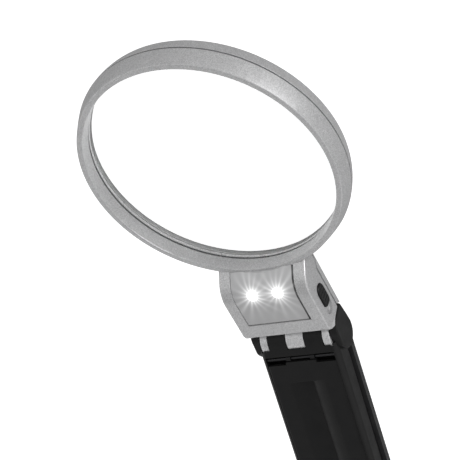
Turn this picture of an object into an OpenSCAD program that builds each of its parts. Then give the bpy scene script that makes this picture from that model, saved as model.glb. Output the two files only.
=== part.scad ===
// Folding illuminated low vision magnifier: a glass lens in a two-part ring, a lamp housing
// below it, and a battery handle that folds on a barrel hinge and carries a fold-out stand leg.
//
// The ring lies on its back rim with the lamps facing up. The origin is where the lens axis
// crosses the plane of that rim. X runs along the hinge axis, +Y away from the handle, +Z up.
// The handle is drawn in its own frame, with the hinge axis at its origin, its length along -Y
// and its front face towards +Z, and is then placed at the hinge with handle_pose().

/* [Lens ring] */
// Outer radius of the ring at the seam between its two halves
ring_r = 56.8; // [56.7:0.1:57]
// Depth of the ring from its back rim to its front rim
ring_depth = 14.6; // [14.2:0.1:15]
// Height of the seam between the ring halves
seam_z = 6.6; // [6.5:0.1:6.8]
// Outer radius of the flat front rim
rim_r = 54.5; // [54.3:0.1:54.8]
// Inner radius of the front rim
rim_inner_r = 52.4; // [52.2:0.1:52.6]
// Height at which the front half ends inside the ring
inner_seam_z = 8.55; // [8.4:0.05:8.7]

/* [Lens] */
// Radius of the lens blank
lens_r = 53.9; // [53.6:0.1:54]
// Thickness of the lens at its edge
lens_edge = 1.6; // [1.5:0.1:1.7]
// Bulge of the front lens surface
lens_front_sag = 5.6; // [4:0.1:5.6]
// Bulge of the back lens surface
lens_back_sag = 2.4; // [1:0.1:2.4]

/* [Lamp housing] */
// Width of the housing
housing_w = 41; // [40.8:0.1:41.2]
// Y of the housing's lower edge
housing_end_y = -83.4; // [-83.6:0.1:-83.2]
// Height of the housing's flat front
housing_top_z = 22.7; // [22.5:0.1:22.9]
// Slope of the ramp that rises from the ring to the flat front
ramp_angle = 52; // [50:1:54]
// Radius that blends the ramp into the flat front
ramp_blend_r = 12; // [10:0.5:13]
// Height of the housing's back face
housing_back_z = 5.9; // [5.7:0.1:6.1]
// Height of the seam between the housing and its back cover
housing_seam_z = 8.5; // [8.3:0.1:8.6]
// Wall thickness of the housing sides
wall = 1.8; // [1.6:0.1:2]

/* [Window and lamps] */
// Width of the lamp window
window_w = 30; // [29:0.5:31]
// Y of the window's lower edge
window_end_y = -76.5; // [-77:0.1:-76]
// Distance of each lamp from the middle
lamp_x = 6.2; // [5.8:0.1:7]
// Y of the lamps
lamp_y = -60.4; // [-60.6:0.1:-60.2]

/* [Slide switch] */
// Length of the sliding button
slider_len = 10.8; // [10.4:0.1:11]
// Width of the sliding button
slider_w = 6; // [5.6:0.1:6.2]
// Travel of the sliding button
slider_travel = 4.2; // [3.6:0.1:4.2]
// Height of the button's middle
slider_z = 14.7; // [14.5:0.1:14.8]

/* [Hinge] */
// Y of the hinge axis
hinge_y = -94.5; // [-94.7:0.1:-94.3]
// Height of the hinge axis
hinge_z = 13; // [12.9:0.1:13.1]
// Radius of the hinge barrels
barrel_r = 8.3; // [8.2:0.1:8.3]
// Radius of the hinge pin
pin_r = 1.5; // [1.2:0.1:1.8]
// Angle between the handle and the lens plane when it is fully open
bend = 20; // [18:1:21]

/* [Handle] */
// Length of the handle from the hinge axis to its end
handle_len = 118; // [116:1:122]
// Width of the handle
handle_w = 37.2; // [37:0.1:37.4]
// Distance of the handle's front face from the hinge axis
handle_front = 8.3; // [8.3:0.1:8.4]
// Distance of the handle's back face from the hinge axis
handle_back = 8.9; // [8.8:0.1:9]
// Radius of the long front edges
edge_r = 3; // [2:0.5:3]

/* [Stand leg] */
// Distance of the leg's rod from the hinge axis, along the handle
rod_h = 7; // [6.9:0.1:7.1]
// Radius of the leg's rod
rod_r = 0.8; // [0.7:0.05:0.85]
// Width of the leg
leg_w = 32.6; // [32.4:0.1:32.7]
// Where the leg ends along the handle
leg_end_h = 108; // [104:1:108]
// Thickness of the leg
leg_t = 2.2; // [2:0.1:2.3]

/* [Battery cells] */
// Radius of one cell
cell_r = 5.15; // [5.1:0.05:5.15]
// Length of one cell without its contact nub
cell_len = 43.5; // [43:0.1:43.5]
// Distance between neighbouring cells
cell_pitch = 10.4; // [10.35:0.01:10.42]

/* [Hidden] */
$fn = 96;

// Colours
silver = [0.66, 0.66, 0.67];
black = [0.09, 0.09, 0.1];
steel = [0.75, 0.75, 0.77];
clear_glass = [0.85, 0.9, 0.92, 0.35];

// Fits and small sizes shared by several pieces
eps = 0.01;
gap = 0.1;
running = 0.05;
steps = 14;
far = 60;

// Ring and lens
seam_groove = 0.6;
seat_r = 54.2;
back_lip_r = 52.2;
back_lip_z = 3.95;
retainer_r = 52.15;
optic_r = 52.05;
lens_back_z = back_lip_z + 0.45;
lens_front_z = lens_back_z + lens_edge;

// Housing front: a flat, a blending arc and a ramp, seen from the side in Y and Z
half_w = housing_w / 2;
seam_top_z = housing_seam_z + 0.2;
ramp_corner_y = -58.2;
blend_y = ramp_corner_y - ramp_blend_r * tan(ramp_angle / 2);
blend_z = housing_top_z - ramp_blend_r;
ramp_len = 13;
skin = 3;
window_recess = 0.35;
window_t = 1.25;
ring_cut_r = 53.3;

// Slide switch
slider_top_y = -65.6;
recess_depth = 1.4;
recess_top_y = slider_top_y + 0.3;
recess_end_y = slider_top_y - slider_len - slider_travel - 0.2;
stem_y = slider_top_y - slider_len / 2;

// Hinge: X ranges of the head's knuckles, the handle's barrels and the ears
knuckle_mid = 4.2;
knuckle_in = 13.2;
knuckle_out = 16.6;
side_gap = 0.2;
ear_in = knuckle_out + side_gap + 0.05;
ear_out = half_w + 0.3;
ear_r = 7.4;
ear_mid_r = 6.9;
ear_mid = [3, -0.3];
ear_tip_r = 1.4;
ear_tip = [9.6, -5.1];
web_top = 2;
web_bottom = -4.25;

// Handle, in its own frame
half_h = handle_w / 2;
ridge_h = 5.4;
pocket_end_h = 11;
block_h = 9;
bay_floor = handle_front - leg_t - 0.2;
deck_t = 1.2;
cavity_h = 10;
end_wall_h = handle_len - 4;
tray_out = 16.45;
tray_in = 15.65;
tray_bottom = -6.9;
tray_top = bay_floor - deck_t - 0.1;
tray_start_h = 12.5;
tray_end_h = end_wall_h - 0.2;
cell_bay_h = 14;
cell_h = 20;
cell_z = -1.1;
plate_t = 0.4;
cell_bay_end_h = cell_h + cell_len + 1 + 0.15 + plate_t;
rod_z = 6.7;
lug_r = 1.4;
slot_h = 9.4;
tab_h = 8.2;
tab_half = 7.2;
screw_y = -78.2;
screw_x = 13.5;

// Points of an arc from angle a0 to a1
function arc(c, r, a0, a1, n = steps) =
    [for (i = [0:n]) let (a = a0 + (a1 - a0) * i / n) [c[0] + r * cos(a), c[1] + r * sin(a)]];

// Points of a quadratic curve pulled towards p1
function bow(p0, p1, p2, n = steps) =
    [for (i = [0:n]) let (t = i / n) (1 - t) * (1 - t) * p0 + 2 * t * (1 - t) * p1 + t * t * p2];

// Points of one lens surface, from its flat edge to its middle, bulging by sag
function lens_curve(edge_z, sag, side) =
    let (radius = (optic_r * optic_r + sag * sag) / (2 * sag))
    concat([[lens_r, edge_z]], [for (i = [0:16])
        let (x = optic_r * (1 - i / 16))
        [x, edge_z + side * (sqrt(radius * radius - x * x) - (radius - sag))]]);

// The housing's front line in Y and Z, moved inwards by d, from the lower edge to the ramp's foot
function front_line(d, y0) =
    let (
        a_end = 90 - ramp_angle,
        r = ramp_blend_r - d,
        foot = [blend_y + r * cos(a_end), blend_z + r * sin(a_end)]
    )
    concat(
        [[y0, housing_top_z - d]],
        arc([blend_y, blend_z], r, 90, a_end),
        [foot + ramp_len * [cos(-ramp_angle), sin(-ramp_angle)]]
    );

// A shape drawn in Y and Z, running along X from x0 to x1
module along_x(x0, x1) {
    translate([x0, 0, 0])
        rotate([90, 0, 90])
            linear_extrude(height = x1 - x0) children();
}

// The same shape on both sides of the middle plane
module both_sides() {
    children();
    mirror([1, 0, 0]) children();
}

// A cylinder along X from x0 to x1, centred on a point given in Y and Z
module rod_x(x0, x1, r, at = [0, 0]) {
    translate([x0, at[0], at[1]])
        rotate([0, 90, 0])
            cylinder(r = r, h = x1 - x0);
}

// A box between two corners
module block(low, high) {
    translate(low) cube(high - low);
}

// A flat ring
module ring(r_out, r_in, z0, z1) {
    translate([0, 0, z0])
        difference() {
            cylinder(r = r_out, h = z1 - z0);
            translate([0, 0, -1]) cylinder(r = r_in, h = z1 - z0 + 2);
        }
}

// Places handle geometry at the hinge, at its open angle
module handle_pose() {
    translate([0, hinge_y, hinge_z]) rotate([-bend, 0, 0]) children();
}

// A round-ended slot drawn in Y and Z
module oblong(y0, y1, w, z) {
    translate([y0 + w / 2, z]) circle(r = w / 2);
    translate([y1 - w / 2, z]) circle(r = w / 2);
    translate([y0 + w / 2, z - w / 2]) square([y1 - y0 - w, w]);
}

// Outline of a hinge ear in Y and Z about the hinge axis, enlarged by grow:
// a round end, a wider middle and a small tip, joined by straight edges
module ear_outline(grow = 0) {
    reach = ear_tip - ear_mid;
    line_a = atan2(reach[1], reach[0]);
    spread = acos((ear_mid_r - ear_tip_r) / norm(reach));
    r_a = ear_r + grow;
    r_b = ear_mid_r + grow;
    r_c = ear_tip_r + grow;
    up = [cos(line_a + spread), sin(line_a + spread)];
    down = [cos(line_a - spread), sin(line_a - spread)];
    circle(r = r_a);
    translate(ear_mid) circle(r = r_b);
    translate(ear_tip) circle(r = r_c);
    polygon([[0, r_a], [0, -r_a], ear_mid - [0, r_b], ear_mid + [0, r_b]]);
    polygon([ear_mid + r_b * up, ear_tip + r_c * up, ear_tip + r_c * down, ear_mid + r_b * down]);
}

// ---------------------------------------------------------------- head

// Front half of the lens ring
module ring_front() {
    rotate_extrude()
        polygon(concat(
            [
                [rim_inner_r - 0.5, inner_seam_z],
                [rim_inner_r, ring_depth - 0.3],
                [rim_inner_r + 0.3, ring_depth],
                [rim_r, ring_depth]
            ],
            bow([rim_r + 0.3, ring_depth - 0.25], [ring_r - 0.95, 11.2], [ring_r, seam_z + 0.45]),
            [
                [ring_r - seam_groove, seam_z + 0.05],
                [seat_r + 0.2, seam_z + 0.05],
                [seat_r + 0.2, inner_seam_z]
            ]
        ));
}

// Side view of the housing block, outside
module housing_outline() {
    polygon(concat(
        front_line(0, housing_end_y),
        [[-50, seam_z + 0.05], [-58, seam_z + 0.05], [-61.5, seam_top_z]],
        [[housing_end_y, seam_top_z]]
    ));
}

// Rounds the housing's long front edges
module housing_section() {
    r = 1.6;
    rotate([90, 0, 0])
        translate([0, 0, 40])
            linear_extrude(height = 50)
                polygon(concat(
                    [[half_w, 0]],
                    arc([half_w - r, housing_top_z - r], r, 0, 90, 6),
                    arc([r - half_w, housing_top_z - r], r, 90, 180, 6),
                    [[-half_w, 0]]
                ));
}

// Cheeks that close the housing's sides down to the hinge ears
module cheeks() {
    both_sides()
        along_x(half_w - wall, half_w)
            intersection() {
                translate([-78.5, 15.7]) circle(r = 8.7);
                translate([-95, seam_top_z]) square([20, housing_top_z - seam_top_z]);
            }
}

// One hinge knuckle of the head, with the web that ties it to the housing
module knuckle(x0, x1) {
    rod_x(x0, x1, barrel_r - 0.1, [hinge_y, hinge_z]);
    block([x0, hinge_y, hinge_z + web_bottom], [x1, housing_end_y + 1, hinge_z + web_top]);
}

module front_shell() {
    color(silver)
        difference() {
            union() {
                ring_front();
                difference() {
                    intersection() {
                        along_x(-half_w, half_w) housing_outline();
                        housing_section();
                    }
                    translate([0, 0, -1]) cylinder(r = seat_r + 0.4, h = ring_depth + 1);
                    cylinder(r = ring_cut_r, h = far);
                }
                cheeks();
                both_sides() knuckle(knuckle_in, knuckle_out);
                knuckle(-knuckle_mid, knuckle_mid);
            }
            // inside of the housing
            difference() {
                along_x(wall - half_w, half_w - wall)
                    intersection() {
                        polygon(concat(
                            front_line(skin, housing_end_y + wall),
                            [[-50, 0], [housing_end_y + wall, 0]]
                        ));
                        translate([housing_end_y + wall, 0]) square([24.5, far]);
                    }
                cylinder(r = ring_r - 0.7, h = far);
                // boss behind the switch recess
                block([half_w - wall - 1.2, recess_end_y - 1, 9.6], [half_w, recess_top_y + 1, 18.8]);
                // screw posts
                for (side = [-1, 1])
                    translate([side * screw_x, screw_y, housing_seam_z + 0.1]) cylinder(r = 2.6, h = far);
            }
            // window seat and the opening behind it
            along_x(-window_w / 2 - 0.05, window_w / 2 + 0.05)
                intersection() {
                    polygon(concat(
                        front_line(window_recess + window_t + 0.05, window_end_y - 0.05),
                        [[-45, far], [window_end_y - 0.05, far]]
                    ));
                    translate([-90, ring_depth]) square([50, far]);
                }
            block([1.6 - window_w / 2, window_end_y + 1.6, 14], [window_w / 2 - 1.6, -57.8, far]);
            // switch recess and the slot for the button's stem
            along_x(half_w - recess_depth, half_w + 1)
                oblong(recess_end_y, recess_top_y, slider_w + 0.6, slider_z);
            block(
                [half_w - 5, stem_y - slider_travel - 1.4, slider_z - 1.2],
                [half_w, stem_y + 1.4, slider_z + 1.2]
            );
            // pockets for the hinge ears
            both_sides()
                along_x(ear_in - 0.15, ear_out + 1)
                    translate([hinge_y, hinge_z]) ear_outline(0.35);
            // bore for the hinge pin
            rod_x(-half_w, half_w, pin_r + running, [hinge_y, hinge_z]);
            // pilot holes for the screws
            for (side = [-1, 1])
                translate([side * screw_x, screw_y, 0]) cylinder(r = 0.9, h = 16);
        }
}

module back_shell() {
    lip_z = housing_seam_z - 0.15;
    color(silver)
        difference() {
            union() {
                rotate_extrude()
                    polygon(concat(
                        [[ring_r - seam_groove, seam_z - 0.05]],
                        bow([ring_r, seam_z - 0.45], [ring_r - 0.4, 2.4], [ring_r - 1.4, 0.35]),
                        [
                            [ring_r - 2, 0],
                            [back_lip_r + 0.4, 0],
                            [back_lip_r, 0.4],
                            [back_lip_r, back_lip_z],
                            [seat_r, back_lip_z],
                            [seat_r, seam_z - 0.05]
                        ]
                    ));
                // cover over the back of the housing
                difference() {
                    intersection() {
                        along_x(-half_w, half_w)
                            polygon([
                                [-50, housing_back_z], [-50, seam_z - 0.05], [-57.9, seam_z - 0.05],
                                [-61.4, lip_z], [-86.4, lip_z - 0.1], [-86.4, housing_back_z + 1],
                                [-85.4, housing_back_z]
                            ]);
                        translate([0, 0, -1])
                            linear_extrude(height = far)
                                polygon([
                                    [-half_w, -45], [half_w, -45], [half_w, -84.6],
                                    [ear_in - 0.3, -86.4], [0.3 - ear_in, -86.4], [-half_w, -84.6]
                                ]);
                    }
                    translate([0, 0, -1]) cylinder(r = seat_r + 0.4, h = far);
                }
                // posts under the screw heads
                for (side = [-1, 1])
                    translate([side * screw_x, screw_y, housing_back_z]) cylinder(r = 3, h = 2.6);
            }
            // room for the hinge ears to turn
            both_sides()
                rod_x(ear_in - 0.15, ear_out + 1, norm(ear_tip) + ear_tip_r + 0.35, [hinge_y, hinge_z]);
            // countersunk screw holes
            for (side = [-1, 1])
                translate([side * screw_x, screw_y, housing_back_z]) {
                    translate([0, 0, -1]) cylinder(r = 1.3, h = 5);
                    translate([0, 0, -1]) cylinder(r = 2.1, h = 2);
                }
        }
}

module lens() {
    color(clear_glass)
        rotate_extrude()
            polygon(concat(
                lens_curve(lens_front_z, lens_front_sag, 1),
                [for (i = [17:-1:0]) lens_curve(lens_back_z, lens_back_sag, -1)[i]]
            ));
}

module lens_retainer() {
    color(silver) ring(seat_r - 0.1, retainer_r, lens_front_z + 0.05, inner_seam_z - 0.7);
}

module lens_gasket() {
    color([0.75, 0.75, 0.74]) ring(seat_r - 0.1, back_lip_r + 0.1, back_lip_z + 0.02, lens_back_z - 0.02);
}

module lamp_window() {
    color(clear_glass)
        difference() {
            along_x(-window_w / 2, window_w / 2)
                intersection() {
                    difference() {
                        polygon(concat(
                            front_line(window_recess, window_end_y),
                            [[-45, 0], [window_end_y, 0]]
                        ));
                        polygon(concat(
                            front_line(window_recess + window_t, window_end_y - 1),
                            [[-45, 0], [window_end_y - 1, 0]]
                        ));
                    }
                    translate([-90, ring_depth + 0.1]) square([50, far]);
                }
            cylinder(r = ring_cut_r + 0.05, h = far);
        }
}

// Bright plate behind the window, with a hole for each lamp
module reflector_plate() {
    color(silver)
        difference() {
            along_x(-16, 16)
                intersection() {
                    difference() {
                        polygon(concat(front_line(skin + 0.1, -79.5), [[-45, 0], [-79.5, 0]]));
                        polygon(concat(front_line(skin + 1, -80), [[-45, 0], [-80, 0]]));
                    }
                    translate([-79.5, 12]) square([20.6, far]);
                }
            for (side = [-1, 1]) {
                translate([side * lamp_x, lamp_y, 0]) cylinder(r = 2.7, h = far);
                translate([side * screw_x, screw_y, 0]) cylinder(r = 2.8, h = far);
            }
            cylinder(r = ring_r + 0.8, h = far);
        }
}

// One 5 mm lamp: a flanged body with a domed end and two legs
module lamp(side) {
    dome_r = 2.45;
    base_z = 12.3;
    color([1, 1, 0.96])
        translate([side * lamp_x, lamp_y - 0.2, 0]) {
            translate([0, 0, base_z]) cylinder(r = 2.9, h = 0.9);
            translate([0, 0, base_z + 0.5]) cylinder(r = dome_r, h = 4.5);
            translate([0, 0, base_z + 5]) sphere(r = dome_r);
            for (leg = [-1, 1])
                translate([leg * 1.27, 0, 10.2]) cylinder(r = 0.28, h = 2.5);
        }
}

module lamp_board() {
    color([0.1, 0.35, 0.18])
        difference() {
            block([-15, -72.5, 11], [12, -58.6, 12.2]);
            for (side = [-1, 1], leg = [-1, 1])
                translate([side * lamp_x + leg * 1.27, lamp_y - 0.2, 10]) cylinder(r = 0.35, h = 3);
            translate([0, 0, 10]) cylinder(r = ring_r - 0.5, h = 3);
        }
}

module lamp_resistors() {
    color([0.16, 0.16, 0.17])
        for (x = [-8, 0, 6])
            block([x - 1.6, -70, 12.25], [x + 1.6, -68.4, 12.9]);
}

module switch_body() {
    color([0.2, 0.2, 0.21])
        difference() {
            block([12.4, -78.4, 10.6], [16.8, -66, 17.8]);
            block(
                [14.6, stem_y - slider_travel - 1.6, slider_z - 1.3],
                [17, stem_y + 1.6, slider_z + 1.3]
            );
            translate([screw_x, screw_y, 0]) cylinder(r = 2.8, h = far);
        }
}

module switch_leads() {
    color([0.7, 0.1, 0.1])
        for (y = [-68.5, -71.5])
            rod_x(9, 12.35, 0.45, [y, 13.6]);
}

// Ribbed sliding button, in the upper, lamps-on place
module switch_slider() {
    low_y = slider_top_y - slider_len;
    color(black) {
        difference() {
            along_x(half_w - recess_depth + 0.1, half_w + 0.7)
                oblong(low_y, slider_top_y, slider_w, slider_z);
            // grip grooves across the button
            for (i = [-2:2])
                block(
                    [half_w + 0.35, stem_y + 1.9 * i - 0.35, 0],
                    [half_w + 2, stem_y + 1.9 * i + 0.35, far]
                );
        }
        block([15, stem_y - 1.1, slider_z - 1], [half_w - recess_depth + 0.2, stem_y + 1.1, slider_z + 1]);
    }
}

// Screws that hold the back cover on
module head_screws() {
    color(steel)
        for (side = [-1, 1])
            translate([side * screw_x, screw_y, housing_back_z]) {
                difference() {
                    translate([0, 0, 0.1]) cylinder(r = 2, h = 0.85);
                    for (turn = [0, 90])
                        rotate([0, 0, turn]) block([-1.3, -0.25, 0], [1.3, 0.25, 0.6]);
                }
                translate([0, 0, 0.9]) cylinder(r = 0.88, h = 8);
            }
}

// ---------------------------------------------------------------- hinge and handle

module hinge_pin() {
    color(steel)
        handle_pose() rod_x(1.2 - ear_out, ear_out - 1.2, pin_r);
}

// Spring washers that give the hinge its friction, one in each ear
module hinge_washers() {
    color(steel)
        handle_pose()
            both_sides()
                difference() {
                    rod_x(ear_in + 0.02, ear_in + 0.45, 5);
                    rod_x(ear_in - 1, ear_in + 1, pin_r + 0.1);
                }
}

// Cross-section of the handle: rounded front edges, straight sides
module handle_section(grow = 0) {
    r = edge_r;
    w = half_h + grow;
    rotate([90, 0, 0])
        linear_extrude(height = handle_len + 10)
            polygon(concat(
                [[w, -20]],
                arc([w - r, handle_front - r], r, 0, 90, 8),
                arc([r - w, handle_front - r], r, 90, 180, 8),
                [[-w, -20]]
            ));
}

// Side view of the handle shell in Y and Z
module handle_side() {
    polygon(concat(
        [[0, -barrel_r], [0, handle_front]],
        arc([3 - handle_len, handle_front - 3], 3, 90, 180, 6),
        [
            [-handle_len, 0.2], [-75, 0.2], [-block_h - 1, -1],
            [-block_h, -1], [-block_h, -barrel_r]
        ]
    ));
}

// Clears the head's knuckles out of the handle
module knuckle_clearance() {
    for (zone = [[-knuckle_out, -knuckle_in], [-knuckle_mid, knuckle_mid], [knuckle_in, knuckle_out]])
        rod_x(zone[0] - side_gap, zone[1] + side_gap, barrel_r + 0.2);
}

module handle_shell() {
    color(black)
        handle_pose()
            difference() {
                union() {
                    difference() {
                        intersection() {
                            along_x(-half_h, half_h) handle_side();
                            handle_section();
                        }
                        knuckle_clearance();
                        // nothing but the barrels reaches up between the knuckles
                        for (zone = [[-half_h, -knuckle_in], [-knuckle_mid, knuckle_mid], [knuckle_in, half_h]])
                            block([zone[0] - side_gap, -1.7, -9], [zone[1] + side_gap, 1, 9]);
                    }
                    both_sides() rod_x(knuckle_mid + side_gap, knuckle_in - side_gap, barrel_r);
                    both_sides()
                        along_x(ear_in, ear_out) rotate(bend) ear_outline();
                }
                // battery space, open towards the back
                block([-tray_out - 0.1, -end_wall_h, -20], [tray_out + 0.1, -tray_start_h + 0.3, bay_floor - deck_t]);
                block([-14, -tray_start_h, -6], [14, -cavity_h, bay_floor - deck_t - 1]);
                // bay for the leg, with a deep pocket under its rod
                block([-leg_w / 2 - 0.2, -leg_end_h - 0.4, bay_floor], [leg_w / 2 + 0.2, -ridge_h, 20]);
                block([-leg_w / 2 - 0.2, -pocket_end_h, 3.2], [leg_w / 2 + 0.2, -ridge_h, 20]);
                // finger scoop at the leg's free end
                translate([0, -leg_end_h - 1.5, handle_front + 2.2])
                    rotate([0, 90, 0]) cylinder(r = 4.5, h = 16, center = true);
                // seats for the leg's rod
                rod_x(1.2 - half_h, half_h - 1.2, rod_r + 0.02, [-rod_h, rod_z], $fn = 48);
                // bore for the hinge pin, and the washer seats
                rod_x(1 - ear_out, ear_out - 1, pin_r + 0.02);
                both_sides() rod_x(ear_in - 0.1, ear_in + 0.5, 5.15);
                // seat for the rubber end pad
                block([-10.1, -handle_len - 1, 3.4], [10.1, 0.9 - handle_len, 6.2]);
                // pilot holes for the tray screws
                for (side = [-1, 1])
                    translate([side * 9, -72, 0]) cylinder(r = 0.9, h = bay_floor - 0.3);
            }
}

// Inner tray that holds the cells and their contacts
module battery_tray() {
    color([0.06, 0.06, 0.065])
        handle_pose()
            difference() {
                block([-tray_out, -tray_end_h, tray_bottom], [tray_out, -tray_start_h, tray_top]);
                // cell bay
                block([-tray_in, -cell_bay_end_h, -20], [tray_in, -cell_bay_h, tray_top - 0.5 + 2]);
                // hollow end of the tray
                block([-13.6, 1.4 - tray_end_h, -20], [13.6, -cell_bay_end_h - 10, tray_top - 1]);
                // grooves that guide the battery cover
                both_sides()
                    block([16, -tray_end_h - 1, -6.3], [20, -cell_bay_end_h - 2, -5.3]);
                // screw holes
                for (side = [-1, 1])
                    translate([side * 9, -72, -20]) {
                        cylinder(r = 1.1, h = 30);
                        cylinder(r = 2.2, h = 16);
                    }
                // slots for the leads
                for (side = [-1, 1])
                    translate([side * 10.4, -cell_bay_h - 1, 0.5]) rotate([-90, 0, 0]) cylinder(r = 0.75, h = 5);
            }
}

// Back cover of the handle: it slides off towards the end to change the cells
module battery_cover() {
    inner = tray_out + 0.1;
    start_h = block_h + 0.2;
    color([0.2, 0.2, 0.21])
        handle_pose() {
            difference() {
                intersection() {
                    along_x(-half_h, half_h)
                        polygon(concat(
                            [[-start_h, -5.2], [-start_h, -handle_back]],
                            arc([2.4 - handle_len, 2.4 - handle_back], 2.4, 270, 180, 6),
                            [[-handle_len, 0], [2.8 - handle_len, 0], [2.8 - handle_len, -5]]
                        ));
                    rotate([90, 0, 0])
                        linear_extrude(height = handle_len + 10)
                            polygon(concat(
                                arc([half_h - 0.8, 0.8 - handle_back], 0.8, 0, -90, 5),
                                arc([0.8 - half_h, 0.8 - handle_back], 0.8, -90, -180, 5),
                                [[-half_h, 9], [half_h, 9]]
                            ));
                }
                block([-inner, 2.8 - handle_len, tray_bottom - 0.1], [inner, 0, 20]);
            }
            // ribs that ride in the tray's grooves
            both_sides()
                block([16.1, -110, -6.15], [half_h - 0.5, -cell_bay_end_h - 3, -5.45]);
        }
}

// One round cell lying along the handle, nub towards the end
module cell(x) {
    color([0.55, 0.42, 0.2])
        handle_pose()
            translate([x, -cell_h, cell_z])
                rotate([90, 0, 0]) {
                    cylinder(r = cell_r, h = cell_len);
                    translate([0, 0, cell_len - 0.1]) cylinder(r = 1.9, h = 1.1);
                }
}

// Points of one tapered coil spring, as rings of a swept tube
spring_turns = 3;
spring_steps = 12;
spring_sides = 6;
spring_wire = 0.3;
spring_len = cell_h - cell_bay_h - plate_t - 2 * spring_wire - 0.3;
function spring_ring(i) =
    let (
        t = i / (spring_turns * spring_steps),
        a = 360 * spring_turns * t,
        r = 3.6 - 1.4 * t
    )
    [for (k = [0:spring_sides - 1])
        let (b = 360 * k / spring_sides, q = r + spring_wire * cos(b))
        [q * cos(a), q * sin(a), spring_len * t + spring_wire * sin(b)]];

module contact_spring() {
    rings = spring_turns * spring_steps;
    n = spring_sides;
    points = [for (i = [0:rings]) each spring_ring(i)];
    sides = [for (i = [0:rings - 1], k = [0:n - 1])
        let (a = i * n + k, b = i * n + (k + 1) % n)
        [a, a + n, b + n, b]];
    first = [for (k = [0:n - 1]) k];
    last = [for (k = [n - 1:-1:0]) rings * n + k];
    polyhedron(points = points, faces = concat(sides, [first, last]));
}

module contact_springs() {
    color(steel)
        handle_pose()
            for (x = [-cell_pitch, 0, cell_pitch])
                translate([x, -cell_bay_h - plate_t - spring_wire - 0.1, cell_z])
                    rotate([90, 0, 0]) contact_spring();
}

module contact_plates() {
    color([0.8, 0.68, 0.35])
        handle_pose() {
            for (x = [-cell_pitch, 0, cell_pitch])
                block(
                    [x - 4.4, -cell_bay_end_h + 0.02, cell_z - 4],
                    [x + 4.4, plate_t - cell_bay_end_h, cell_z + 4]
                );
            for (x = [-cell_pitch, 0, cell_pitch])
                block(
                    [x - 4.4, -cell_bay_h - plate_t, cell_z - 4],
                    [x + 4.4, -cell_bay_h - 0.02, cell_z + 4]
                );
        }
}

// Leads from the contacts towards the hinge
module battery_leads() {
    color([0.6, 0.08, 0.08])
        handle_pose()
            for (side = [-1, 1])
                translate([side * cell_pitch, -cell_bay_h + 0.05, 0.5])
                    rotate([-90, 0, 0]) cylinder(r = 0.6, h = 3.6);
}

module tray_screws() {
    color(steel)
        handle_pose()
            for (side = [-1, 1])
                translate([side * 9, -72, 0]) {
                    translate([0, 0, -5.2]) cylinder(r = 2, h = 1.1);
                    translate([0, 0, -4.2]) cylinder(r = 0.88, h = 8.6);
                }
}

module end_pad() {
    color([0.12, 0.12, 0.12])
        handle_pose()
            block([-10, -handle_len - 0.5, 3.5], [10, 0.8 - handle_len, 6.1]);
}

// ---------------------------------------------------------------- stand leg

module leg_rod() {
    color(steel)
        handle_pose() rod_x(1.4 - half_h, half_h - 1.4, rod_r, [-rod_h, rod_z], $fn = 48);
}

module stand_leg() {
    bottom = handle_front - leg_t;
    w = leg_w / 2;
    color(black)
        handle_pose()
            difference() {
                union() {
                    intersection() {
                        block([-w, -leg_end_h, bottom], [w, -tab_h, handle_front]);
                        handle_section(-0.15);
                    }
                    both_sides() {
                        rod_x(4.7, 6.8, lug_r, [-rod_h, rod_z], $fn = 48);
                        block([4.7, -slot_h - 0.6, rod_z - lug_r], [6.8, -rod_h, bottom + 0.4]);
                    }
                }
                // slots beside the middle tab
                both_sides() block([tab_half, -slot_h, 0], [w + 1, 0, 20]);
                both_sides() rod_x(3, 7, rod_r + running, [-rod_h, rod_z], $fn = 48);
                // wedge-shaped grip: level on the left, deepest at its right edge
                translate([-9, 0, handle_front])
                    rotate([0, 6.3, 0])
                        block([0, -96, 0], [10.8, -18, 5]);
                // seat for the rubber foot
                block([-11, -leg_end_h - 1, bottom - 1], [11, 3 - leg_end_h, bottom + 0.9]);
            }
}

module leg_foot() {
    bottom = handle_front - leg_t;
    color([0.12, 0.12, 0.12])
        handle_pose()
            block([-10.9, -leg_end_h + 0.05, bottom + 0.02], [10.9, 2.9 - leg_end_h, bottom + 0.85]);
}

front_shell();
back_shell();
lens();
lens_retainer();
lens_gasket();
lamp_window();
reflector_plate();
lamp(-1);  // lamp_left
lamp(1);  // lamp_right
lamp_board();
lamp_resistors();
switch_body();
switch_leads();
switch_slider();
head_screws();
hinge_pin();
hinge_washers();
handle_shell();
battery_tray();
battery_cover();
cell(-cell_pitch);  // cell_left
cell(0);  // cell_middle
cell(cell_pitch);  // cell_right
contact_springs();
contact_plates();
battery_leads();
tray_screws();
end_pad();
leg_rod();
stand_leg();
leg_foot();
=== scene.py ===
"""Looks of the folding lit magnifier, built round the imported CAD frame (metres, +Z up)."""

import math

import bmesh
import bpy
from mathutils import Matrix, Vector


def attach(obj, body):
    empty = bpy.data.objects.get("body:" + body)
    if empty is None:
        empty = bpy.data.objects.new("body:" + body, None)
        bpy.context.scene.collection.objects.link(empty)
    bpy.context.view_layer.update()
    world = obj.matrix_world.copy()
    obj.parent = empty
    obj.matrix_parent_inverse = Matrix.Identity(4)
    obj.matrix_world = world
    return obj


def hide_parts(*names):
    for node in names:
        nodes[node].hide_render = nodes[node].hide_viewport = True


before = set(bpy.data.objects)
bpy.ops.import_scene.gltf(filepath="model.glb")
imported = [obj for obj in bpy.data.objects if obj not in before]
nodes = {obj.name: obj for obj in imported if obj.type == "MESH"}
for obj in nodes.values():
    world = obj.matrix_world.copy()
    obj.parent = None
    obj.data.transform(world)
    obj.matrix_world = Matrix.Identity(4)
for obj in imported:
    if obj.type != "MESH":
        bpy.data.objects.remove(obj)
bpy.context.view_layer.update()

MM = 0.001

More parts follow.
